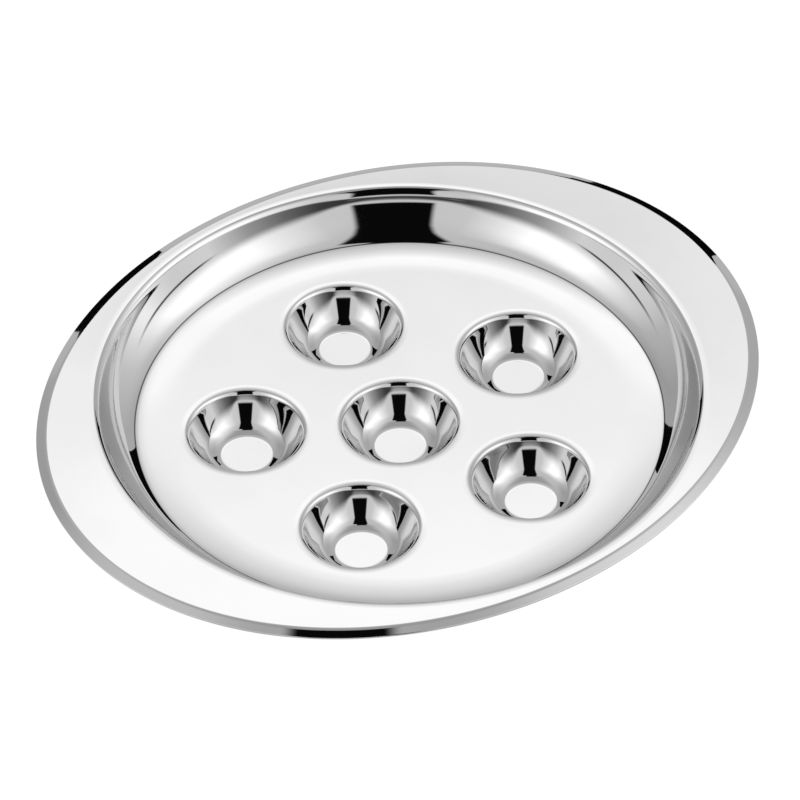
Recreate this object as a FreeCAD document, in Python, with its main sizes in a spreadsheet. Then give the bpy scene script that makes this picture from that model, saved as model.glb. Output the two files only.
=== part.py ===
import FreeCAD, Part
import math
import os
import Sketcher
from enum import IntEnum
from FreeCAD import Placement, Rotation, Vector

# Escargot plate: one sheet of stainless steel, pressed into an oval rim with a turned down lip,
# a round well and six dimples. Long axis along X, standing on the dimples at Z = 0.

# Driving sizes in mm, angles in degrees, each one a cell of the spreadsheet
SIZES = {
    "sheet": (0.8, "thickness of the steel"),
    "grip_width": (16.7, "flat rim from the well's mouth to the lip's bend at the ends"),
    "side_width": (2.1, "flat rim from the well's mouth to the lip's bend at the sides"),
    "lip_reach": (2.5, "how far the lip runs out past its bend"),
    "lip_drop": (1.4, "how far the lip's upper edge lies under the rim"),
    "lip_bend": (2.2, "upper radius of the lip's bend"),
    "well_mouth": (84.2, "radius at which the rim starts to bend down"),
    "well_depth": (11.3, "rim to floor"),
    "well_shoulder": (3.2, "upper radius of the bend at the mouth"),
    "well_steep": (64.0, "slope at the top of the wall"),
    "well_low": (42.0, "slope at the bottom of the wall"),
    "well_foot": (5.0, "radius between wall and floor"),
    "dimple_mouth": (18.2, "radius at which the floor bends into a dimple"),
    "dimple_depth": (9.5, "floor to the bottom of a dimple"),
    "dimple_shoulder": (3.0, "upper radius of the bend at a dimple's mouth"),
    "dimple_steep": (62.0, "slope at the top of a dimple's wall"),
    "dimple_low": (50.0, "slope at the bottom of a dimple's wall"),
    "dimple_foot": (6.0, "radius between a dimple's wall and its bottom"),
    "ring_radius": (42.0, "centre of the plate to the centre of an outer dimple"),
    "ring_turn": (2.5, "turn of the ring of dimples from the long axis"),
    "ring_count": (5, "dimples in the ring"),
}

document = FreeCAD.newDocument("EscargotPlate")
sheet = document.addObject("Spreadsheet::Sheet", "Sizes")
for row, (alias, (value, note)) in enumerate(SIZES.items(), start=1):
    sheet.set("A%d" % row, alias)
    sheet.set("B%d" % row, str(value))
    sheet.set("C%d" % row, note)
    sheet.setAlias("B%d" % row, alias)
document.recompute()

# Heights and shares that follow from the sizes above
FLOOR = "(Sizes.sheet + Sizes.dimple_depth)"
RIM = "(Sizes.sheet + Sizes.dimple_depth + Sizes.well_depth)"
HALF_LENGTH = "(Sizes.well_mouth + Sizes.grip_width)"
HALF_WIDTH = "(Sizes.well_mouth + Sizes.side_width)"
LIP_ANGLE = "atan(Sizes.lip_drop / Sizes.lip_reach)"


def size(alias):
    return float(sheet.get(alias))


def floor_height():
    return size("sheet") + size("dimple_depth")


def rim_height():
    return floor_height() + size("well_depth")


def origin_feature(body, role):
    return next(f for f in body.Origin.OriginFeatures if f.Role == role)


def new_sketch(body, name, role):
    sketch = body.newObject("Sketcher::SketchObject", name)
    sketch.AttachmentSupport = [(origin_feature(body, role), "")]
    sketch.MapMode = "FlatFace"
    return sketch


def drive(sketch, name, index, expression):
    sketch.renameConstraint(index, name)
    sketch.setExpression("Constraints." + name, expression)


class Point(IntEnum):
    """How a sketch numbers the points of a curve."""
    START = 1
    END = 2
    CENTRE = 3


class Own(IntEnum):
    """How a sketch numbers its own origin and its own vertical axis."""
    ORIGIN = -1
    VERTICAL_AXIS = -2


def add_arc(sketch, centre, radius, start, end):
    circle = Part.Circle(centre, Vector(0, 0, 1), radius)
    return sketch.addGeometry(Part.ArcOfCircle(circle, start, end), False)


def ellipse_sketch(body, name, outset, below):
    """Draw the rim's ellipse, larger by outset and lower by below, which are expressions."""
    sketch = new_sketch(body, name, "XY_Plane")
    half_length = size("well_mouth") + size("grip_width")
    half_width = size("well_mouth") + size("side_width")
    curve = sketch.addGeometry(Part.Ellipse(Vector(0, 0, 0), half_length, half_width), False)
    sketch.exposeInternalGeometry(curve)
    long_line, short_line = curve + 1, curve + 2
    sketch.addConstraint(Sketcher.Constraint(
        "Coincident", curve, Point.CENTRE, Own.ORIGIN, Point.START))
    sketch.addConstraint(Sketcher.Constraint("Horizontal", long_line))
    for label, line, start, half in (("length", long_line, half_length, HALF_LENGTH),
                                     ("width", short_line, half_width, HALF_WIDTH)):
        index = sketch.addConstraint(Sketcher.Constraint("Distance", line, 2 * start))
        drive(sketch, label, index, "2 * (%s + %s)" % (half, outset))
    sketch.setExpression(".AttachmentOffset.Base.z", "%s - (%s)" % (RIM, below))
    return sketch


def hole_sketch(body, name, radius, height, centre=None):
    """Draw a circle in a level plane; centre holds the expressions of its X and Y, or none."""
    sketch = new_sketch(body, name, "XY_Plane")
    start = Vector(0, 0, 0) if centre is None else Vector(size("ring_radius"), 1, 0)
    curve = sketch.addGeometry(Part.Circle(start, Vector(0, 0, 1), size("dimple_mouth")), False)
    drive(sketch, "radius", sketch.addConstraint(
        Sketcher.Constraint("Radius", curve, size("dimple_mouth"))), radius)
    if centre is None:
        sketch.addConstraint(Sketcher.Constraint("Coincident", curve, Point.CENTRE, Own.ORIGIN, Point.START))
    else:
        for axis, place, guess in (("X", centre[0], start.x), ("Y", centre[1], start.y)):
            index = sketch.addConstraint(
                Sketcher.Constraint("Distance" + axis, Own.ORIGIN, Point.START, curve, Point.CENTRE, guess))
            drive(sketch, "at" + axis, index, place)
    sketch.setExpression(".AttachmentOffset.Base.z", height)
    return sketch


def bowl_sketch(body, name, kind, top, top_guess):
    """Draw half the section of a bowl of bent sheet, mouth to axis, in the XZ plane.

    kind is the prefix of the bowl's sizes; top is the expression of its mouth's height. The
    upper side is a shoulder, a long hollow wall, a tighter foot and the flat bottom, all
    tangent; the lower side follows one sheet below. The depth settles the wall's radius.
    """
    mouth, depth = size(kind + "_mouth"), size(kind + "_depth")
    shoulder, foot = size(kind + "_shoulder"), size(kind + "_foot")
    steep, low = math.radians(size(kind + "_steep")), math.radians(size(kind + "_low"))
    thick = size("sheet")
    wall = (depth - shoulder * (1 - math.cos(steep)) - foot * (1 - math.cos(low))) / (
        math.cos(low) - math.cos(steep))
    shoulder_centre = Vector(mouth, top_guess - shoulder, 0)
    wall_centre = shoulder_centre + (shoulder + wall) * Vector(-math.sin(steep), math.cos(steep), 0)
    foot_centre = wall_centre + (wall - foot) * Vector(math.sin(low), -math.cos(low), 0)
    bottom = top_guess - depth
    down = 1.5 * math.pi
    sketch = new_sketch(body, name, "XZ_Plane")
    sides = []
    for inset in (0.0, thick):
        a = add_arc(sketch, shoulder_centre, shoulder - inset, math.pi / 2, math.pi / 2 + steep)
        b = add_arc(sketch, wall_centre, wall + inset, down + low, down + steep)
        c = add_arc(sketch, foot_centre, foot + inset, down, down + low)
        d = sketch.addGeometry(Part.LineSegment(
            Vector(foot_centre.x, bottom - inset, 0), Vector(0, bottom - inset, 0)), False)
        sketch.addConstraint(Sketcher.Constraint("Tangent", a, Point.END, b, Point.END))
        sketch.addConstraint(Sketcher.Constraint("Tangent", b, Point.START, c, Point.END))
        sketch.addConstraint(Sketcher.Constraint("Tangent", c, Point.START, d, Point.START))
        sketch.addConstraint(Sketcher.Constraint("Horizontal", d))
        sketch.addConstraint(Sketcher.Constraint("PointOnObject", d, Point.END, Own.VERTICAL_AXIS))
        sides.append((a, b, c, d))
    (a, b, c, d), (low_a, low_b, low_c, low_d) = sides
    for upper, lower in ((a, low_a), (b, low_b), (c, low_c)):
        sketch.addConstraint(Sketcher.Constraint("Coincident", upper, Point.CENTRE, lower, Point.CENTRE))
    rim = sketch.addGeometry(Part.LineSegment(
        Vector(mouth, top_guess, 0), Vector(mouth, top_guess - thick, 0)), False)
    core = sketch.addGeometry(Part.LineSegment(
        Vector(0, bottom, 0), Vector(0, bottom - thick, 0)), False)
    for line, upper, upper_end, lower, lower_end in (
            (rim, a, Point.START, low_a, Point.START), (core, d, Point.END, low_d, Point.END)):
        sketch.addConstraint(Sketcher.Constraint("Coincident", line, Point.START, upper, upper_end))
        sketch.addConstraint(Sketcher.Constraint("Coincident", line, Point.END, lower, lower_end))
    sketch.addConstraint(Sketcher.Constraint("Vertical", rim))
    sketch.addConstraint(Sketcher.Constraint("Vertical", a, Point.CENTRE, a, Point.START))
    driven = (
        ("shoulder", Sketcher.Constraint("Radius", a, shoulder), "Sizes.%s_shoulder" % kind),
        ("under_shoulder", Sketcher.Constraint("Radius", low_a, shoulder - thick),
         "Sizes.%s_shoulder - Sizes.sheet" % kind),
        ("foot", Sketcher.Constraint("Radius", c, foot), "Sizes.%s_foot" % kind),
        ("steep", Sketcher.Constraint("Angle", a, steep), "Sizes.%s_steep * 1 deg" % kind),
        ("low", Sketcher.Constraint("Angle", c, low), "Sizes.%s_low * 1 deg" % kind),
        ("mouth", Sketcher.Constraint("DistanceX", Own.ORIGIN, Point.START, a, Point.START, mouth),
         "Sizes.%s_mouth" % kind),
        ("top", Sketcher.Constraint("DistanceY", Own.ORIGIN, Point.START, a, Point.START, top_guess), top),
        ("depth", Sketcher.Constraint("DistanceY", d, Point.END, a, Point.START, depth),
         "Sizes.%s_depth" % kind),
    )
    for label, constraint, expression in driven:
        drive(sketch, label, sketch.addConstraint(constraint), expression)
    return sketch


def revolve(body, name, sketch):
    feature = body.newObject("PartDesign::Revolution", name)
    feature.Profile = sketch
    feature.ReferenceAxis = (sketch, ["V_Axis"])
    feature.Angle = 360
    return feature


def loft(body, kind, name, sections):
    feature = body.newObject(kind, name)
    feature.Profile = sections[0]
    feature.Sections = sections[1:]
    feature.Ruled = True
    return feature


def open_hole(body, name, sketch):
    """Cut a round hole through the sheet, both ways from a sketch in the sheet's middle."""
    feature = body.newObject("PartDesign::Pocket", name)
    feature.Profile = sketch
    feature.Type = 0
    feature.Midplane = True
    feature.setExpression("Length", "4 * Sizes.sheet")
    return feature


def edges_at(shape, height, tolerance=0.01):
    """Name the closed edges that lie wholly at one height."""
    names = []
    for number, edge in enumerate(shape.Edges, start=1):
        box = edge.BoundBox
        if abs(box.ZMin - height) < tolerance and abs(box.ZMax - height) < tolerance:
            names.append("Edge%d" % number)
    return names


def rim_and_lip(body):
    """Flat oval rim whose edge is turned down to a sloping lip, hollow underneath."""
    under_edge = ("Sizes.lip_reach - Sizes.sheet * sin(%s)" % LIP_ANGLE,
                  "Sizes.lip_drop + Sizes.sheet * cos(%s)" % LIP_ANGLE)
    blank = loft(body, "PartDesign::AdditiveLoft", "RimAndLip", [
        ellipse_sketch(body, "RimBend", "0", "0"),
        ellipse_sketch(body, "LipEdge", "Sizes.lip_reach", "Sizes.lip_drop"),
        ellipse_sketch(body, "LipUnderEdge", *under_edge),
    ])
    document.recompute()
    bend = body.newObject("PartDesign::Fillet", "LipBend")
    bend.Base = (blank, edges_at(blank.Shape, rim_height()))
    bend.setExpression("Radius", "Sizes.lip_bend")
    loft(body, "PartDesign::SubtractiveLoft", "LipHollow", [
        ellipse_sketch(body, "HollowBend", "-1 * Sizes.sheet * tan(%s / 2)" % LIP_ANGLE, "Sizes.sheet"),
        ellipse_sketch(body, "HollowEdge", *under_edge),
    ])


def well(body):
    """Round well: its mouth is opened in the rim, then the bowl of bent sheet is added."""
    open_hole(body, "WellMouth", hole_sketch(
        body, "WellMouthCircle", "Sizes.well_mouth", RIM + " - Sizes.sheet / 2"))
    revolve(body, "Well", bowl_sketch(body, "WellSection", "well", RIM, rim_height()))


def dimples(body):
    """One dimple in the middle of the floor and a ring of five about it."""
    middle = FLOOR + " - Sizes.sheet / 2"
    open_hole(body, "MiddleMouth", hole_sketch(
        body, "MiddleMouthCircle", "Sizes.dimple_mouth", middle))
    revolve(body, "MiddleDimple", bowl_sketch(body, "MiddleSection", "dimple", FLOOR, floor_height()))
    place = ("Sizes.ring_radius * cos(Sizes.ring_turn * 1 deg)",
             "Sizes.ring_radius * sin(Sizes.ring_turn * 1 deg)")
    mouth = open_hole(body, "OuterMouth", hole_sketch(
        body, "OuterMouthCircle", "Sizes.dimple_mouth", middle, place))
    section = bowl_sketch(body, "OuterSection", "dimple", FLOOR, floor_height())
    section.AttachmentOffset = Placement(Vector(), Rotation(Vector(0, 1, 0), size("ring_turn")))
    section.setExpression(".AttachmentOffset.Rotation.Angle", "Sizes.ring_turn * 1 deg")
    section.setExpression(".AttachmentOffset.Base.x", place[0])
    section.setExpression(".AttachmentOffset.Base.z", "-1 * " + place[1])
    dimple = revolve(body, "OuterDimple", section)
    document.recompute()
    ring = body.newObject("PartDesign::PolarPattern", "RingOfDimples")
    ring.Originals = [mouth, dimple]
    ring.Axis = (origin_feature(body, "Z_Axis"), [""])
    ring.Angle = 360
    ring.setExpression("Occurrences", "Sizes.ring_count")
    body.Tip = ring


plate = document.addObject("PartDesign::Body", "Plate")
plate.Label = "plate"
rim_and_lip(plate)
well(plate)
dimples(plate)
document.recompute()

faulty = [item.Name for item in document.Objects
          if "Invalid" in item.State or "Error" in item.State]
if faulty:
    raise RuntimeError("failed to build: " + ", ".join(faulty))

os.makedirs("parts", exist_ok=True)
for piece in (plate,):
    shape = piece.Shape
    if shape.isNull() or not shape.isValid() or len(shape.Solids) != 1:
        raise RuntimeError("not one sound solid: " + piece.Label)
    shape.exportStep(os.path.join("parts", piece.Label + ".step"))
    box = shape.optimalBoundingBox()
    print("%s: %.2f x %.2f x %.2f mm, bottom at %.3f, volume %.0f mm3" % (
        piece.Label, box.XLength, box.YLength, box.ZLength, box.ZMin, shape.Volume))
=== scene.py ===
"""Escargot plate: one sheet of mirror-polished stainless steel, pressed and seen as photographed.

The plate is modelled as the upper side of the sheet, in millimetres, and gets its thickness
downwards. Its long axis lies along X and it stands on its dimples at Z = 0.
"""

import logging
import math
from dataclasses import dataclass
from enum import Enum
from typing import Any, Iterable, Optional, Union

import bmesh
import bpy
from mathutils import Matrix, Vector


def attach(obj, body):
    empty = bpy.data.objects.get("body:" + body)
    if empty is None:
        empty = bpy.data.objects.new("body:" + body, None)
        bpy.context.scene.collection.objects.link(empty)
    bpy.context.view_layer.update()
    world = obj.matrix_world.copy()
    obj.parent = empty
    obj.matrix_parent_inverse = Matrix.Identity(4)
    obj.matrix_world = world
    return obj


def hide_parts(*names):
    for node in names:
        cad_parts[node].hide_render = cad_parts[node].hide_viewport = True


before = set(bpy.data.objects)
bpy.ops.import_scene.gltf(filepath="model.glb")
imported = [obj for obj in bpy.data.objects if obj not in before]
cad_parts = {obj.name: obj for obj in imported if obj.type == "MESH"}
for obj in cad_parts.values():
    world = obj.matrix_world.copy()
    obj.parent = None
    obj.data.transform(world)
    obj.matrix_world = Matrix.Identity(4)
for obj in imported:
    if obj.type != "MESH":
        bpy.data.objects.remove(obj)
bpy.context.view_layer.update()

MM = 0.001
WELD = 1e-4
VIEW_TURN = 35.78
RIM_HEIGHT = 21.6
UP = Vector((0.0, 0.0, 1.0))
ACROSS = Vector((0.0, 1.0, 0.0))
ORIGIN = Vector((0.0, 0.0, 0.0))
WHITE = (1.0, 1.0, 1.0, 1.0)

logging.basicConfig(level=logging.INFO, format="%(message)s")
log = logging.getLogger("plate")

Value = Union[float, tuple, "Wire"]
Colour = tuple[float, float, float, float]
Step = tuple[float, float]
Stops = tuple[tuple[float, float], ...]


def shown(grey: float, mirror: float = 0.60) -> float:
    """Work out how strong a light the steel shows as a given grey.

    Args:
        grey: the grey in the picture, 0 to 255.
        mirror: the share of light that the steel returns.

    Returns:
        The light's strength.
    """
    share = grey / 255
    linear = share / 12.92 if share <= 0.04045 else ((share + 0.055) / 1.055) ** 2.4
    return linear / mirror


class SeenBy(Enum):
    """What looks at a surface or at the light round the plate."""

    CAMERA = "Is Camera Ray"
    MIRROR = "Is Glossy Ray"


class Wire:
    """One output of a shader node, with the arithmetic that adds Math nodes."""

    def __init__(self, shader: "Shader", socket: bpy.types.NodeSocket) -> None:
        """Wrap a socket of a shader's node tree."""
        self.shader = shader
        self.socket = socket

    def math(self, operation: str, first: Value, second: Value = 0.0) -> "Wire":
        """Add a Math node.

        Args:
            operation: the node's operation.
            first: its first value or link.
            second: its second value or link.

        Returns:
            The node's result.
        """
        return self.shader.node("ShaderNodeMath", {"operation": operation}, {0: first, 1: second})

    def __add__(self, other: Value) -> "Wire":
        """Return self + other."""
        return self.math("ADD", self, other)

    def __radd__(self, other: Value) -> "Wire":
        """Return other + self."""
        return self.math("ADD", other, self)

    def __sub__(self, other: Value) -> "Wire":
        """Return self - other."""
        return self.math("SUBTRACT", self, other)

    def __rsub__(self, other: Value) -> "Wire":
        """Return other - self."""
        return self.math("SUBTRACT", other, self)

    def __mul__(self, other: Value) -> "Wire":
        """Return self * other."""
        return self.math("MULTIPLY", self, other)

    def __rmul__(self, other: Value) -> "Wire":
        """Return other * self."""
        return self.math("MULTIPLY", other, self)

    def __truediv__(self, other: Value) -> "Wire":
        """Return self / other."""
        return self.math("DIVIDE", self, other)

    def __rtruediv__(self, other: Value) -> "Wire":
        """Return other / self."""
        return self.math("DIVIDE", other, self)

    def size(self) -> "Wire":
        """Return the value without its sign."""
        return self.math("ABSOLUTE", self)

    def root(self) -> "Wire":
        """Return the square root."""
        return self.math("SQRT", self)

    def at_least(self, least: float) -> "Wire":
        """Return the value, or least where that is more."""
        return self.math("MAXIMUM", self, least)

    def angle_from(self, base: "Wire") -> "Wire":
        """Return the angle, in degrees, that this side spans over a base."""
        return self.math("ARCTAN2", self, base) * math.degrees(1)

    def slant(self) -> "Wire":
        """Return the angle, in degrees, whose sine this is."""
        return self.math("ARCSINE", self) * math.degrees(1)

    def over(self, value: Value, mask: "Wire") -> "Wire":
        """Return self with a value laid over it where the mask is 1."""
        return self + (value - self) * mask


class Shader:
    """The node tree of a material or world, filled from Python expressions."""

    FIRST_COLOUR = 6
    SECOND_COLOUR = 7
    MIXED_COLOUR = 2

    def __init__(self, owner: Union[bpy.types.Material, bpy.types.World]) -> None:
        """Switch the owner to nodes and empty its tree."""
        owner.use_nodes = True
        self.tree = owner.node_tree
        self.tree.nodes.clear()

    def node(self, kind: str, settings: Optional[dict[str, Any]] = None,
             sockets: Optional[dict[Union[int, str], Value]] = None,
             output: Union[int, str] = 0) -> Wire:
        """Add a node.

        Args:
            kind: the node's type.
            settings: its properties, set first; "stops" holds a ramp's (place, level) pairs.
            sockets: the values or links of its inputs, by name or number.
            output: the output to return, by name or number.

        Returns:
            That output, or the first input of a node that has no output.
        """
        made = self.tree.nodes.new(kind)
        for name, value in (settings or {}).items():
            if name == "stops":
                self._set_stops(made.color_ramp, value)
            else:
                setattr(made, name, value)
        for name, value in (sockets or {}).items():
            if isinstance(value, Wire):
                self.tree.links.new(value.socket, made.inputs[name])
            else:
                made.inputs[name].default_value = value
        return Wire(self, made.outputs[output] if len(made.outputs) else made.inputs[0])

    @staticmethod
    def _set_stops(ramp: bpy.types.ColorRamp, stops: Stops) -> None:
        """Give a ramp its stops.

        Args:
            ramp: the ramp.
            stops: pairs of a place and a grey level, both from 0 to 1.
        """
        while len(ramp.elements) > 1:
            ramp.elements.remove(ramp.elements[-1])
        for number, (place, level) in enumerate(stops):
            stop = ramp.elements[0] if number == 0 else ramp.elements.new(place)
            stop.position = place
            stop.color = (level, level, level, 1.0)

    def parts(self, vector: Wire) -> list[Wire]:
        """Return a vector's three components."""
        split = self.node("ShaderNodeSeparateXYZ", sockets={"Vector": vector}).socket.node
        return [Wire(self, socket) for socket in split.outputs]

    def noise(self, place: Wire, scale: float, detail: float, roughness: float = 0.5) -> Wire:
        """Return a noise from 0 to 1 over a place."""
        return self.node("ShaderNodeTexNoise", sockets={
            "Vector": place, "Scale": scale, "Detail": detail, "Roughness": roughness}, output="Fac")

    def rise(self, value: Wire, step: Step) -> Wire:
        """Make a smooth step.

        Args:
            value: the value.
            step: where the result is 0 and where it is 1, in either order.

        Returns:
            0 on the first end's side of the step, 1 on the second end's side.
        """
        upwards = step[0] < step[1]
        return self.node("ShaderNodeMapRange", {"interpolation_type": "SMOOTHSTEP"}, {
            "Value": value, "From Min": min(step), "From Max": max(step),
            "To Min": 0.0 if upwards else 1.0, "To Max": 1.0 if upwards else 0.0})

    def where(self, *conditions: tuple[Wire, Step]) -> Wire:
        """Make a mask from smooth steps that all have to hold.

        Args:
            conditions: pairs of a value and its step.

        Returns:
            1 where every step is 1, less across their soft edges, 0 elsewhere.
        """
        mask, *others = [self.rise(value, step) for value, step in conditions]
        for other in others:
            mask = mask * other
        return mask

    def levels(self, value: Wire, stops: Stops) -> Wire:
        """Turn a value into a light's strength, straight between stops.

        Args:
            value: the value.
            stops: pairs of a value and the grey that the steel is to show there.

        Returns:
            The strength.
        """
        first, last = stops[0][0], stops[-1][0]
        most = max(shown(grey) for _, grey in stops)
        places = tuple(((at - first) / (last - first), shown(grey) / most) for at, grey in stops)
        return self.node("ShaderNodeValToRGB", {"stops": places},
                         {"Fac": (value - first) * (1 / (last - first))}) * most

    def path(self, viewer: SeenBy) -> Wire:
        """Return 1 for the rays of a viewer."""
        return self.node("ShaderNodeLightPath", output=viewer.value)

    def mix_colours(self, share: Wire, first: Value, second: Value) -> Wire:
        """Return a colour between two, the second where the share is 1."""
        return self.node("ShaderNodeMix", {"data_type": "RGBA"}, {
            "Factor": share, self.FIRST_COLOUR: first, self.SECOND_COLOUR: second},
            output=self.MIXED_COLOUR)

    def mix_surfaces(self, share: Wire, first: Wire, second: Wire) -> Wire:
        """Return a surface between two, the second where the share is 1."""
        return self.node("ShaderNodeMixShader", sockets={0: share, 1: first, 2: second})


@dataclass(frozen=True)
class PolishedSteel:
    """Mirror-polished stainless steel: a clear mirror, faint haze, the press's ripples and a painted
    shade at its crease.

    Scales are in waves per metre, the ripples' height and the painted ring's sizes in metres. The
    thin dark ring at the crease, at the foot of the well's wall, is painted shade in the colour.
    """

    name: str = "polished_steel"
    tone: Colour = (0.607, 0.607, 0.609, 1.0)
    tone_worn: Colour = (0.586, 0.586, 0.588, 1.0)
    # Painted shade: the dark tone of the thin ring at the crease at the foot of the well's wall.
    painted_shade_tone: Colour = (0.14, 0.14, 0.14, 1.0)
    smudge_scale: float = 38.0
    smudge_detail: float = 4.0
    smudge_roughness: float = 0.55
    smudge_step: Step = (0.35, 0.75)
    haze_least: float = 0.015
    haze_most: float = 0.05
    ripple_scale: float = 45.0
    ripple_detail: float = 1.0
    ripple_height: float = 0.000003
    grain_scale: float = 900.0
    grain_detail: float = 2.0
    grain_in_tone: float = 0.2
    grain_in_ripple: float = 0.02
    # Where the ring of painted shade lies: its radius, half width and sharp core.
    shade_ring_radius: float = 0.0723
    shade_ring_half: float = 0.00028
    shade_ring_core: float = 0.3

    def material(self) -> bpy.types.Material:
        """Build the material.

        Returns:
            The new material.
        """
        made = bpy.data.materials.new(self.name)
        shader = Shader(made)
        place = shader.node("ShaderNodeTexCoord", output="Object")
        smudge = shader.noise(place, self.smudge_scale, self.smudge_detail, self.smudge_roughness)
        ripple = shader.noise(place, self.ripple_scale, self.ripple_detail)
        grain = shader.noise(place, self.grain_scale, self.grain_detail)
        haze = shader.rise(smudge, self.smudge_step)
        worn = haze * (1 - self.grain_in_tone) + grain * self.grain_in_tone
        colour = shader.mix_colours(worn, self.tone, self.tone_worn)
        # Painted shade: the steel's colour is darkened in a thin ring at the crease at the foot of
        # the well's wall.
        colour = shader.mix_colours(self.painted_crease_shade(shader, place), colour, self.painted_shade_tone)
        bump = shader.node("ShaderNodeBump", sockets={
            "Strength": 1.0, "Distance": self.ripple_height,
            "Height": ripple + grain * self.grain_in_ripple})
        surface = shader.node("ShaderNodeBsdfPrincipled", sockets={
            "Base Color": colour,
            "Metallic": 1.0,
            "Roughness": self.haze_least + haze * (self.haze_most - self.haze_least),
            "Normal": bump})
        shader.node("ShaderNodeOutputMaterial", sockets={"Surface": surface})
        return made

    def painted_crease_shade(self, shader: Shader, place: Wire) -> Wire:
        """Mark the thin ring of painted shade at the crease.

        Args:
            shader: the material's shader.
            place: the place on the plate.

        Returns:
            1 on the ring of painted shade, 0 elsewhere.
        """
        x, y, _ = shader.parts(place)
        away = (x * x + y * y).root() - self.shade_ring_radius
        return shader.rise(away.size(), (self.shade_ring_half, self.shade_ring_half * self.shade_ring_core))


def pull(mesh: bmesh.types.BMesh, vertex: bmesh.types.BMVert, offset: Vector) -> bmesh.types.BMVert:
    """Draw a straight edge from a vertex.

    Args:
        mesh: the mesh to draw in.
        vertex: the vertex to start from.
        offset: the edge's run.

    Returns:
        The edge's far vertex.
    """
    made = bmesh.ops.extrude_vert_indiv(mesh, verts=[vertex])["verts"][0]
    bmesh.ops.translate(mesh, verts=[made], vec=offset)
    return made


def bend(mesh: bmesh.types.BMesh, vertex: bmesh.types.BMVert, centre: Vector, degrees: float,
         steps: int) -> bmesh.types.BMVert:
    """Draw an arc from a vertex, in the upright plane through the long axis.

    Args:
        mesh: the mesh to draw in.
        vertex: the vertex to start from.
        centre: the arc's centre.
        degrees: the arc's span about the Y direction.
        steps: the number of edges.

    Returns:
        The arc's far vertex.
    """
    made = bmesh.ops.spin(mesh, geom=[vertex], cent=centre, axis=ACROSS,
                          angle=math.radians(degrees), steps=steps)
    return only(made["geom_last"], bmesh.types.BMVert)[0]


def only(items: Iterable[Any], kind: type) -> list[Any]:
    """Return the items of one kind."""
    return [item for item in items if isinstance(item, kind)]


def edges_at(verts: Iterable[bmesh.types.BMVert]) -> list[bmesh.types.BMEdge]:
    """Return the edges that end at any of the vertices, each once."""
    return list(dict.fromkeys(edge for vertex in verts for edge in vertex.link_edges))


def everything(mesh: bmesh.types.BMesh) -> list[Any]:
    """Return all the vertices, edges and faces of a mesh."""
    return mesh.verts[:] + mesh.edges[:] + mesh.faces[:]


@dataclass(frozen=True)
class Arc:
    """One arc of a hollow's section, between two slopes down towards the middle, in degrees."""

    radius: float
    start: float
    end: float
    steps: int

    def drop(self) -> float:
        """Return how far the arc goes down."""
        start, end = (math.cos(math.radians(slope)) for slope in (self.start, self.end))
        return self.radius * abs(start - end)

    def centre(self, point: Vector) -> Vector:
        """Return the arc's centre, under the sheet where it gets steeper and over it elsewhere."""
        slope = math.radians(self.start)
        normal = Vector((-math.sin(slope), 0, math.cos(slope)))
        return point - normal * math.copysign(self.radius, self.end - self.start)


@dataclass(frozen=True)
class Bowl:
    """Half the section of a round hollow: shoulder, long hollow wall, foot and flat bottom.

    The wall's radius is the one that takes the section down to its depth. Outside the mouth the
    sheet droops outwards at a slope in degrees.
    """

    mouth: float
    depth: float
    shoulder: tuple[Arc, ...]
    foot: tuple[Arc, ...]
    wall_steps: int
    turn_steps: int
    droop: float = 0.0
    margin: float = 0.2

    def arcs(self) -> tuple[Arc, ...]:
        """Return the section's arcs, from the mouth to the bottom."""
        left = self.depth - sum(arc.drop() for arc in self.shoulder + self.foot)
        wall = Arc(1.0, self.shoulder[-1].end, self.foot[0].start, self.wall_steps)
        wall = Arc(left / wall.drop(), wall.start, wall.end, wall.steps)
        return (*self.shoulder, wall, *self.foot)

    def section(self, mesh: bmesh.types.BMesh, place: Vector) -> list[Any]:
        """Draw the section with its flat margins.

        Args:
            mesh: the mesh to draw in.
            place: the middle of the hollow's mouth.

        Returns:
            The section's vertices and edges.
        """
        old_verts, old_edges = set(mesh.verts), set(mesh.edges)
        inwards = Vector((-self.margin, 0, self.margin * math.tan(math.radians(self.droop))))
        end = mesh.verts.new(place + Vector((self.mouth, 0, 0)) - 2 * inwards)
        for _ in range(2):
            end = pull(mesh, end, inwards)
        for arc in self.arcs():
            end = bend(mesh, end, arc.centre(end.co), arc.start - arc.end, arc.steps)
        pull(mesh, end, Vector((-self.margin, 0, 0)))
        return ([vertex for vertex in mesh.verts if vertex not in old_verts]
                + [edge for edge in mesh.edges if edge not in old_edges])

    def turn(self, mesh: bmesh.types.BMesh, place: Vector) -> tuple[list[Any], list[Any]]:
        """Turn the section about the upright axis through place.

        Args:
            mesh: the mesh to add to.
            place: the middle of the hollow's mouth.

        Returns:
            The edges of its mouth and the edges of its bottom.
        """
        old = set(mesh.edges)
        section = self.section(mesh, place)
        bmesh.ops.spin(mesh, geom=section, cent=place, axis=UP, angle=math.tau,
                       steps=self.turn_steps, use_merge=True)
        verts = dict.fromkeys(v for edge in mesh.edges if edge not in old for v in edge.verts)
        bmesh.ops.remove_doubles(mesh, verts=list(verts), dist=WELD)
        open_edges = [edge for edge in mesh.edges if edge not in old and edge.is_boundary]
        middle = place.z - self.depth / 2
        return ([edge for edge in open_edges if edge.verts[0].co.z > middle],
                [edge for edge in open_edges if edge.verts[0].co.z < middle])


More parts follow.
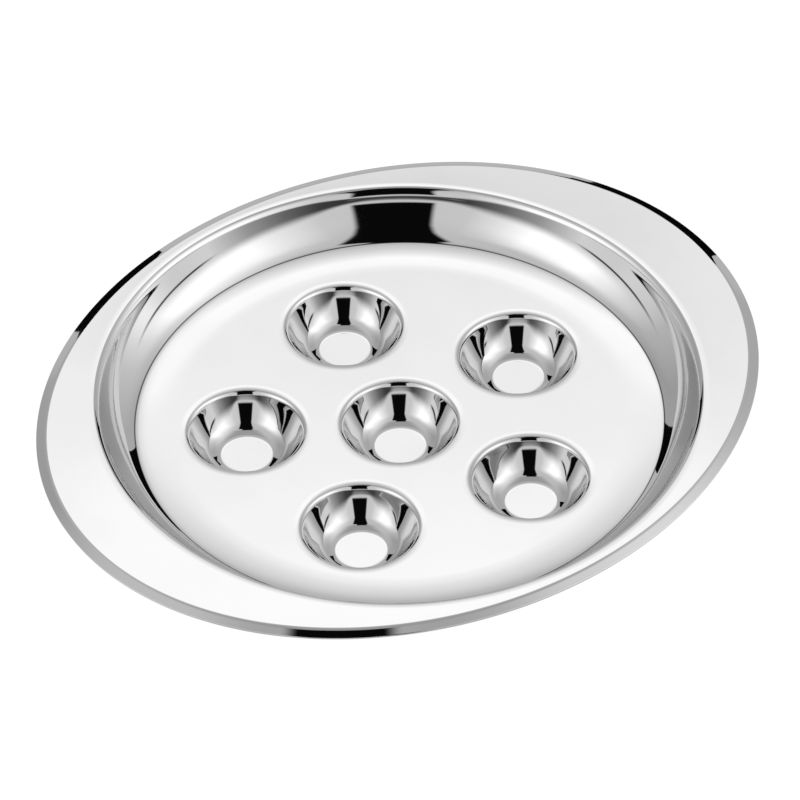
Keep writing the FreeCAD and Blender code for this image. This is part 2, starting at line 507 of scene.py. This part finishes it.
WELL = Bowl(
    mouth=84.5, depth=11.8, droop=0.6, wall_steps=18, turn_steps=240,
    shoulder=(Arc(32.0, 0.0, 2.5, 4), Arc(1.6, 2.5, 41.0, 14), Arc(3.8, 41.0, 58.2, 8),
              Arc(12.5, 58.2, 62.3, 3)),
    foot=(Arc(11.07, 41.0, 25.0, 8), Arc(0.5, 25.0, 4.0, 6), Arc(156.0, 4.0, 0.0, 10)))
DIMPLE = Bowl(
    mouth=18.3, depth=9.0, wall_steps=6, turn_steps=72,
    shoulder=(Arc(27.0, 0.0, 4.0, 6), Arc(0.95, 4.0, 45.0, 9), Arc(3.0, 45.0, 62.0, 4)),
    foot=(Arc(6.0, 50.0, 0.0, 12),))


@dataclass
class PressedPlate:
    """The whole plate: flat oval rim with a turned down lip, round well and six dimples.

    The oval's half sizes reach to where the rim and the lip would meet without their bend, and
    the lip's reach and drop are taken from there to its edge.
    """

    name: str = "pressed_plate"
    node: str = "plate"
    slot: str = "plate"
    sheet: float = 0.8
    height: float = RIM_HEIGHT
    half_length: float = 100.9
    half_width: float = 86.3
    lip_reach: float = 2.5
    lip_drop: float = 1.12
    lip_bend: float = 2.6
    lip_steps: int = 16
    margin: float = 0.25
    edge_round: float = 0.12
    edge_steps: int = 2
    edge_angle: float = 60.0
    ring_radius: float = 42.0
    ring_turn: float = 2.5
    ring_count: int = 5
    well: Bowl = WELL
    dimple: Bowl = DIMPLE

    def dimple_places(self) -> list[Vector]:
        """Return the middles of the six dimples' mouths, on the well's floor."""
        middle = Vector((0, 0, self.height - self.well.depth))
        ring = [math.radians(self.ring_turn) + math.tau * k / self.ring_count
                for k in range(self.ring_count)]
        return [middle] + [middle + Vector((self.ring_radius * math.cos(angle),
                                            self.ring_radius * math.sin(angle), 0))
                           for angle in ring]

    def lip_section(self) -> list[tuple[float, float]]:
        """Draw the lip's section: the bend, then the slope with a narrow margin at either end.

        Returns:
            Pairs of the reach past the oval and the drop under the rim.
        """
        slope = math.atan2(self.lip_drop, self.lip_reach)
        length = math.hypot(self.lip_reach, self.lip_drop)
        tangent = self.lip_bend * math.tan(slope / 2)
        angles = [slope * k / self.lip_steps for k in range(self.lip_steps + 1)]
        bent = [(self.lip_bend * math.sin(angle) - tangent, self.lip_bend * (1 - math.cos(angle)))
                for angle in angles]
        shares = ((tangent + self.margin) / length, 1 - self.margin / length, 1.0)
        return bent + [(share * self.lip_reach, share * self.lip_drop) for share in shares]

    def rim(self, mesh: bmesh.types.BMesh) -> list[Any]:
        """Draw the rim's bend and lip outwards from an oval that droops as the rim does.

        Args:
            mesh: the mesh to add to.

        Returns:
            The edges of the oval's inner side.
        """
        points = self.lip_section()
        reach = points[0][0] - self.margin
        made = bmesh.ops.create_circle(mesh, segments=self.well.turn_steps, radius=1.0)["verts"]
        bmesh.ops.scale(mesh, verts=made, vec=(self.half_length + reach, self.half_width + reach, 1))
        bmesh.ops.translate(mesh, verts=made, vec=(0, 0, self.height))
        for vertex in made:
            out = math.hypot(vertex.co.x, vertex.co.y) - self.well.mouth
            vertex.co.z -= out * math.tan(math.radians(self.well.droop))
        inner = edges_at(made)
        edges, drop = inner, 0.0
        for next_reach, next_drop in points:
            grown = bmesh.ops.extrude_edge_only(mesh, edges=edges)["geom"]
            verts = only(grown, bmesh.types.BMVert)
            edges = [edge for edge in only(grown, bmesh.types.BMEdge) if edge.is_boundary]
            bmesh.ops.scale(mesh, verts=verts, vec=(
                (self.half_length + next_reach) / (self.half_length + reach),
                (self.half_width + next_reach) / (self.half_width + reach), 1))
            bmesh.ops.translate(mesh, verts=verts, vec=(0, 0, drop - next_drop))
            reach, drop = next_reach, next_drop
        return inner

    def upper_side(self) -> bmesh.types.BMesh:
        """Join the dimples, the floor, the well and the rim into the sheet's upper side.

        Returns:
            The mesh, in metres, its faces upwards.
        """
        mesh = bmesh.new()
        first, *others = self.dimple_places()
        _, bottom = self.dimple.turn(mesh, first)
        bmesh.ops.edgeloop_fill(mesh, edges=bottom)
        pattern = everything(mesh)
        for place in others:
            copied = bmesh.ops.duplicate(mesh, geom=pattern)["geom"]
            bmesh.ops.translate(mesh, verts=only(copied, bmesh.types.BMVert), vec=place - first)
        holes = [edge for edge in mesh.edges if edge.is_boundary]
        mouth, foot = self.well.turn(mesh, Vector((0, 0, self.height)))
        bmesh.ops.triangle_fill(mesh, edges=foot + holes, use_beauty=True, normal=UP)
        bmesh.ops.bridge_loops(mesh, edges=self.rim(mesh) + mouth)
        bmesh.ops.remove_doubles(mesh, verts=mesh.verts, dist=WELD)
        bmesh.ops.recalc_face_normals(mesh, faces=mesh.faces)
        if sum(face.normal.z for face in mesh.faces) < 0:
            bmesh.ops.reverse_faces(mesh, faces=mesh.faces)
        bmesh.ops.scale(mesh, verts=mesh.verts, vec=(MM, MM, MM))
        return mesh

    def build(self) -> bpy.types.Object:
        """Make the plate, with the sheet's thickness and the rounding of its edge as modifiers.

        Returns:
            The new object, at the origin, its place in its mesh.
        """
        made = new_object(self.name, self.upper_side())
        made.data.shade_smooth()
        wall = made.modifiers.new("sheet", "SOLIDIFY")
        wall.thickness = self.sheet * MM
        wall.offset = -1.0
        wall.use_even_offset = True
        edge = made.modifiers.new("lip_edge", "BEVEL")
        edge.width = self.edge_round * MM
        edge.segments = self.edge_steps
        edge.limit_method = "ANGLE"
        edge.angle_limit = math.radians(self.edge_angle)
        return made

    def dress(self, piece: bpy.types.Object) -> None:
        """Give the plate its finish and its place in the frame.

        Args:
            piece: the plate's object.
        """
        piece.data.materials.append(PolishedSteel().material())
        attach(piece, "root")
        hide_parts(self.node)


def new_object(name: str, mesh: bmesh.types.BMesh) -> bpy.types.Object:
    """Turn a finished mesh into an object of the scene.

    Args:
        name: the object's name.
        mesh: its mesh, which is freed.

    Returns:
        The new object.
    """
    data = bpy.data.meshes.new(name)
    mesh.to_mesh(data)
    mesh.free()
    made = bpy.data.objects.new(name, data)
    bpy.context.scene.collection.objects.link(made)
    return made


def stage_object(name: str, mesh: bmesh.types.BMesh, finish: bpy.types.Material) -> bpy.types.Object:
    """Turn a finished mesh into a stage object.

    Args:
        name: the object's name.
        mesh: its mesh, which is freed.
        finish: its material.

    Returns:
        The new object.
    """
    made = new_object(name, mesh)
    made.data.materials.append(finish)
    return made


@dataclass(frozen=True)
class FloorFinish:
    """White to the camera, a grey to the mirror, and a little of a pale body that keeps shadow."""

    name: str = "pale_floor"
    shadow_share: float = 0.08
    whiteness: float = 1.07
    mirrored: float = 172.0
    body: Colour = (0.86, 0.86, 0.86, 1.0)

    def material(self) -> bpy.types.Material:
        """Build the material.

        Returns:
            The new material.
        """
        made = bpy.data.materials.new(self.name)
        shader = Shader(made)
        body = shader.node("ShaderNodeBsdfDiffuse", sockets={"Color": self.body})
        dim = shader.node("ShaderNodeEmission", sockets={"Strength": shown(self.mirrored)})
        white = shader.node("ShaderNodeEmission", sockets={"Strength": self.whiteness})
        glow = shader.mix_surfaces(shader.path(SeenBy.CAMERA), dim, white)
        viewed = shader.path(SeenBy.CAMERA) + shader.path(SeenBy.MIRROR)
        surface = shader.mix_surfaces(viewed * (1 - self.shadow_share), body, glow)
        shader.node("ShaderNodeOutputMaterial", sockets={"Surface": surface})
        return made


@dataclass(frozen=True)
class PaleFloor:
    """The table under the plate: a square that lies a hair under it."""

    name: str = "floor"
    half_side: float = 3000.0
    below: float = 0.05

    def build(self) -> bpy.types.Object:
        """Make the floor.

        Returns:
            The new stage object.
        """
        mesh = bmesh.new()
        bmesh.ops.create_grid(mesh, x_segments=1, y_segments=1, size=self.half_side * MM)
        bmesh.ops.translate(mesh, verts=mesh.verts, vec=(0, 0, -self.below * MM))
        return stage_object(self.name, mesh, FloorFinish().material())


@dataclass(frozen=True)
class CardBlack:
    """Black that a mirror image of a mirror image leaves out."""

    name: str = "card_black"
    colour: Colour = (0.004, 0.004, 0.004, 1.0)
    second_image: Step = (1.4, 1.6)

    def material(self) -> bpy.types.Material:
        """Build the material.

        Returns:
            The new material.
        """
        made = bpy.data.materials.new(self.name)
        shader = Shader(made)
        black = shader.node("ShaderNodeBsdfDiffuse", sockets={"Color": self.colour})
        clear = shader.node("ShaderNodeBsdfTransparent")
        depth = shader.node("ShaderNodeLightPath", output="Glossy Depth")
        surface = shader.mix_surfaces(shader.rise(depth, self.second_image), black, clear)
        shader.node("ShaderNodeOutputMaterial", sockets={"Surface": surface})
        return made


@dataclass(frozen=True)
class DarkCards:
    """Two curved black cards behind the plate, which only its mirror shows.

    They draw the dark stretches of its lip and of its wall's foot. Both are cut from the band
    between two upright ellipses round the rim's height, each given by its middle to the right and
    its two half sizes, in millimetres. The band ends at its foot over the floor, and a gap of two
    open halves, from a height up, parts it into the two cards.
    """

    name: str = "dark_cards"
    turn: float = VIEW_TURN
    away: float = 430.0
    level: float = RIM_HEIGHT
    outer: tuple[float, float, float] = (-12.0, 255.0, 390.0)
    inner: tuple[float, float, float] = (-33.0, 127.0, 330.0)
    segments: int = 96
    foot: float = 1.0
    open_half: float = 112.0
    open_from: float = 260.0

    def oval(self, mesh: bmesh.types.BMesh, sizes: tuple[float, float, float]) -> list[Any]:
        """Draw an ellipse, lying down.

        Args:
            mesh: the mesh to draw in.
            sizes: its middle along X and its two half sizes.

        Returns:
            Its edges.
        """
        middle, half_width, half_height = sizes
        made = bmesh.ops.create_circle(mesh, segments=self.segments, radius=1.0)["verts"]
        bmesh.ops.scale(mesh, verts=made, vec=(half_width, half_height, 1))
        bmesh.ops.translate(mesh, verts=made, vec=(middle, 0, 0))
        return edges_at(made)

    def outline(self) -> bmesh.types.BMesh:
        """Cut the cards out of the band between the ellipses.

        Returns:
            The mesh, lying down, with its Y still to become the height from the rim.
        """
        mesh = bmesh.new()
        foot, gap_foot = self.foot - self.level, self.open_from - self.level
        bmesh.ops.bridge_loops(mesh, edges=self.oval(mesh, self.outer) + self.oval(mesh, self.inner))
        for place, normal, clear in (((0, foot, 0), (0, 1, 0), True),
                                     ((0, gap_foot, 0), (0, 1, 0), False),
                                     ((self.open_half, 0, 0), (1, 0, 0), False),
                                     ((-self.open_half, 0, 0), (1, 0, 0), False)):
            bmesh.ops.bisect_plane(mesh, geom=everything(mesh), plane_co=place, plane_no=normal,
                                   clear_inner=clear)
        middles = [(face, face.calc_center_median()) for face in mesh.faces]
        gap = [face for face, middle in middles
               if abs(middle.x) < self.open_half and middle.y > gap_foot]
        bmesh.ops.delete(mesh, geom=gap, context="FACES")
        return mesh

    def build(self) -> bpy.types.Object:
        """Make the cards and stand them behind the plate.

        Returns:
            The new stage object.
        """
        mesh = self.outline()
        upright = Matrix.Rotation(math.pi / 2, 3, "X")
        behind = Matrix.Rotation(-math.radians(self.turn), 3, "Z")
        bmesh.ops.rotate(mesh, verts=mesh.verts, cent=ORIGIN, matrix=upright)
        bmesh.ops.translate(mesh, verts=mesh.verts, vec=(0, self.away, self.level))
        bmesh.ops.rotate(mesh, verts=mesh.verts, cent=ORIGIN, matrix=behind)
        bmesh.ops.scale(mesh, verts=mesh.verts, vec=(MM, MM, MM))
        made = stage_object(self.name, mesh, CardBlack().material())
        made.visible_camera = made.visible_diffuse = made.visible_shadow = False
        return made


@dataclass(frozen=True)
class Bearing:
    """A direction from the plate, as angles in degrees.

    over runs from the horizon behind the plate (0) over the top (90) to the horizon at the camera
    (180), side from the plane between them to the right, around about the upright from behind the
    plate (0), and height from the horizon up. far is around without its sign.
    """

    over: Wire
    side: Wire
    around: Wire
    far: Wire
    height: Wire


@dataclass(frozen=True)
class StudioLight:
    """White studio round the plate, as its mirror shows it.

    Light is given as the grey that the steel shows, by the angles of a Bearing. A Step runs from
    the value where a form is absent to the value where it is full, in degrees except for
    table_under and doorway_edge, which are shares.

    The forms are laid over each other in this order. The ring is the wall of the studio, all
    round, under a ceiling that is lighter at the right. The table darkens under its edge towards
    the camera, with a glow on it in front and a dark seam along its edge at the sides. Overhead,
    the ridge is a darker stretch of the ceiling and the lamp a bright bar behind it. The doorway
    is a soft grey oval behind the plate. The gap is a long black opening in the ceiling, from
    overhead down towards the camera.
    """

    turn: float = VIEW_TURN
    ring: Stops = ((-180, 190), (-152, 197), (-138, 228), (-125, 260), (-102, 260), (-84, 216),
                   (-68, 176), (-48, 152), (0, 166), (40, 164), (60, 190), (70, 216), (82, 258),
                   (122, 258), (134, 232), (152, 199), (180, 190))
    ceiling_left: float = 186.0
    ceiling_right: float = 224.0
    ceiling_side: Step = (12, 38)
    ceiling_height: Step = (35, 62)
    table: Stops = ((70, 170), (90, 198), (112, 206), (128, 146), (142, 98), (154, 60), (165, 48))
    table_far: Step = (70, 100)
    table_edge: float = 14.6
    table_edge_raised: float = 3.0
    table_raised_from: Step = (75, 115)
    table_raised_to: Step = (172, 150)
    table_fade: float = 12.0
    table_fade_less: float = 8.5
    table_fade_far: Step = (140, 164)
    table_under: Step = (1, 0)
    glow: float = 240.0
    glow_edge: Step = (0, -2.6)
    glow_middle: float = -4.5
    glow_half: Step = (21, 14)
    glow_far: Step = (120, 140)
    seam: float = 45.0
    seam_half: Step = (1.5, 0.4)
    seam_from: Step = (65, 85)
    seam_to: Step = (116, 104)
    ridge: float = 150.0
    ridge_half: Step = (24, 8)
    ridge_from: Step = (50, 68)
    ridge_to: Step = (100, 88)
    lamp: Stops = ((35, 177), (37.9, 180), (39.3, 203), (40.5, 216), (41.6, 224), (42.7, 235),
                   (43.6, 240), (44.4, 249), (46.2, 252), (47.3, 232), (48.8, 205), (50.6, 186),
                   (54, 184))
    lamp_middle: float = -0.7
    lamp_half: Step = (6.5, 2.8)
    lamp_from: Step = (35, 36)
    lamp_to: Step = (54, 52)
    doorway: float = 174.0
    doorway_half_width: float = 34.0
    doorway_half_height: float = 38.0
    doorway_edge: Step = (1.0, 0.72)
    gap: float = 8.0
    gap_half: float = 11.0
    gap_neck: Step = (100, 95)
    gap_neck_less: float = 4.5
    gap_neck_aside: float = 2.0
    gap_widens_from: float = 132.0
    gap_widening: float = 0.1
    gap_edge: Step = (1.2, -1.2)
    gap_from: Step = (88, 91.5)
    gap_to: Step = (161, 159)

    def bearing(self, shader: Shader) -> Bearing:
        """Work out the direction that the light comes from.

        Args:
            shader: the world's shader.

        Returns:
            Its angles.
        """
        ray = shader.node("ShaderNodeTexCoord", output="Generated")
        turned = shader.node("ShaderNodeVectorRotate", {"rotation_type": "Z_AXIS"}, {
            "Vector": ray, "Angle": math.radians(self.turn)})
        right, back, up = shader.parts(turned)
        around = right.angle_from(back)
        return Bearing(over=up.angle_from(back), side=right.slant(), around=around,
                       far=around.size(), height=up.slant())

    def room(self, shader: Shader, at: Bearing) -> Wire:
        """Lay out the ring and the ceiling.

        Args:
            shader: the world's shader.
            at: the direction.

        Returns:
            The light's strength.
        """
        left, right = shown(self.ceiling_left), shown(self.ceiling_right)
        ceiling = left + shader.rise(at.side, self.ceiling_side) * (right - left)
        ring = shader.levels(at.around, self.ring)
        return ring.over(ceiling, shader.rise(at.height, self.ceiling_height))

    def lay_table(self, shader: Shader, at: Bearing, level: Wire) -> Wire:
        """Lay the table, its glow and its seam over the room.

        Args:
            shader: the world's shader.
            at: the direction.
            level: the strength so far.

        Returns:
            The strength.
        """
        raised = shader.where((at.around, self.table_raised_from), (at.around, self.table_raised_to))
        edge = at.height - self.table_edge - raised * self.table_edge_raised
        fade = self.table_fade - shader.rise(at.far, self.table_fade_far) * self.table_fade_less
        table = shader.where((edge / fade, self.table_under), (at.far, self.table_far))
        glow = shader.where((edge, self.glow_edge), (at.far, self.glow_far),
                            ((at.side - self.glow_middle).size(), self.glow_half))
        seam = shader.where((edge.size(), self.seam_half), (at.far, self.seam_from),
                            (at.far, self.seam_to))
        level = level.over(shader.levels(at.far, self.table), table)
        return level.over(shown(self.glow), glow).over(shown(self.seam), seam)

    def lay_overhead(self, shader: Shader, at: Bearing, level: Wire) -> Wire:
        """Lay the ridge, the lamp and the doorway over the rest.

        Args:
            shader: the world's shader.
            at: the direction.
            level: the strength so far.

        Returns:
            The strength.
        """
        ridge = shader.where((at.side.size(), self.ridge_half), (at.over, self.ridge_from),
                             (at.over, self.ridge_to))
        lamp = shader.where(((at.side - self.lamp_middle).size(), self.lamp_half),
                            (at.over, self.lamp_from), (at.over, self.lamp_to))
        wide, high = at.around / self.doorway_half_width, at.height / self.doorway_half_height
        doorway = shader.rise(wide * wide + high * high, self.doorway_edge)
        level = level.over(shown(self.ridge), ridge).over(shader.levels(at.over, self.lamp), lamp)
        return level.over(shown(self.doorway), doorway)

    def cut_gap(self, shader: Shader, at: Bearing, level: Wire) -> Wire:
        """Cut the gap, with a narrower neck overhead, into all the rest.

        Args:
            shader: the world's shader.
            at: the direction.
            level: the strength so far.

        Returns:
            The strength.
        """
        neck = shader.rise(at.over, self.gap_neck)
        wider = (at.over - self.gap_widens_from).at_least(0.0) * self.gap_widening
        half = wider + self.gap_half - neck * self.gap_neck_less
        beyond = (at.side + neck * self.gap_neck_aside).size() - half
        return level.over(shown(self.gap), shader.where(
            (beyond, self.gap_edge), (at.over, self.gap_from), (at.over, self.gap_to)))

    def build(self) -> bpy.types.World:
        """Make the world's light, which the camera itself sees as plain white.

        Returns:
            The new world, set in the scene.
        """
        world = bpy.data.worlds.new("studio")
        bpy.context.scene.world = world
        shader = Shader(world)
        at = self.bearing(shader)
        level = self.lay_table(shader, at, self.room(shader, at))
        level = self.cut_gap(shader, at, self.lay_overhead(shader, at, level))
        studio = shader.node("ShaderNodeBackground", sockets={"Color": WHITE, "Strength": level})
        white = shader.node("ShaderNodeBackground", sockets={"Color": WHITE})
        mixed = shader.mix_surfaces(shader.path(SeenBy.CAMERA), studio, white)
        shader.node("ShaderNodeOutputWorld", sockets={"Surface": mixed})
        return world


@dataclass(frozen=True)
class PhotoCamera:
    """The camera at the photograph's viewing angle.

    The turn, elevation and roll are in degrees, the lens and sensor in millimetres, the image and
    the rim's centre in it in pixels, and the clip distances in metres.
    """

    turn: float = VIEW_TURN
    elevation: float = 43.26
    roll: float = -1.669
    lens: float = 420.0
    sensor: float = 36.0
    image: float = 800.0
    pixels_per_mm: float = 3.6756
    centre_pixel: tuple[float, float] = (398.6, 390.4)
    centre: tuple[float, float, float] = (0.0, 0.0, RIM_HEIGHT)
    nearest: float = 0.05
    farthest: float = 50.0

    def build(self) -> bpy.types.Object:
        """Make the camera so that the rim's centre falls on its pixel.

        Returns:
            The new camera, set in the scene.
        """
        turn, tilt, roll = (math.radians(a) for a in (self.turn, self.elevation, self.roll))
        level_right = Vector((math.cos(turn), -math.sin(turn), 0))
        away = Vector((math.sin(turn), math.cos(turn), 0))
        forward = math.cos(tilt) * away - math.sin(tilt) * UP
        level_up = level_right.cross(forward)
        right = math.cos(roll) * level_right + math.sin(roll) * level_up
        up = -math.sin(roll) * level_right + math.cos(roll) * level_up
        distance = self.lens / self.sensor * self.image / self.pixels_per_mm
        half = self.image / 2
        aim = (Vector(self.centre) + right * ((half - self.centre_pixel[0]) / self.pixels_per_mm)
               - up * ((half - self.centre_pixel[1]) / self.pixels_per_mm))
        data = bpy.data.cameras.new("camera")
        data.lens = self.lens
        data.sensor_width = self.sensor
        data.clip_start = self.nearest
        data.clip_end = self.farthest
        made = bpy.data.objects.new("camera", data)
        bpy.context.scene.collection.objects.link(made)
        axes = Matrix((right, up, -forward)).transposed().to_4x4()
        made.matrix_world = Matrix.Translation((aim - forward * distance) * MM) @ axes
        bpy.context.scene.camera = made
        return made


def main() -> None:
    """Build the camera, the light, the stage and the plate, and report each."""
    bpy.context.scene.view_settings.view_transform = "Standard"
    for part in (PhotoCamera(), StudioLight(), PaleFloor(), DarkCards()):
        log.info("built %s", part.build().name)
    plate = PressedPlate()
    piece = plate.build()
    plate.dress(piece)
    log.info("built %s with %d faces", piece.name, len(piece.data.polygons))


if __name__ == "__main__":
    main()
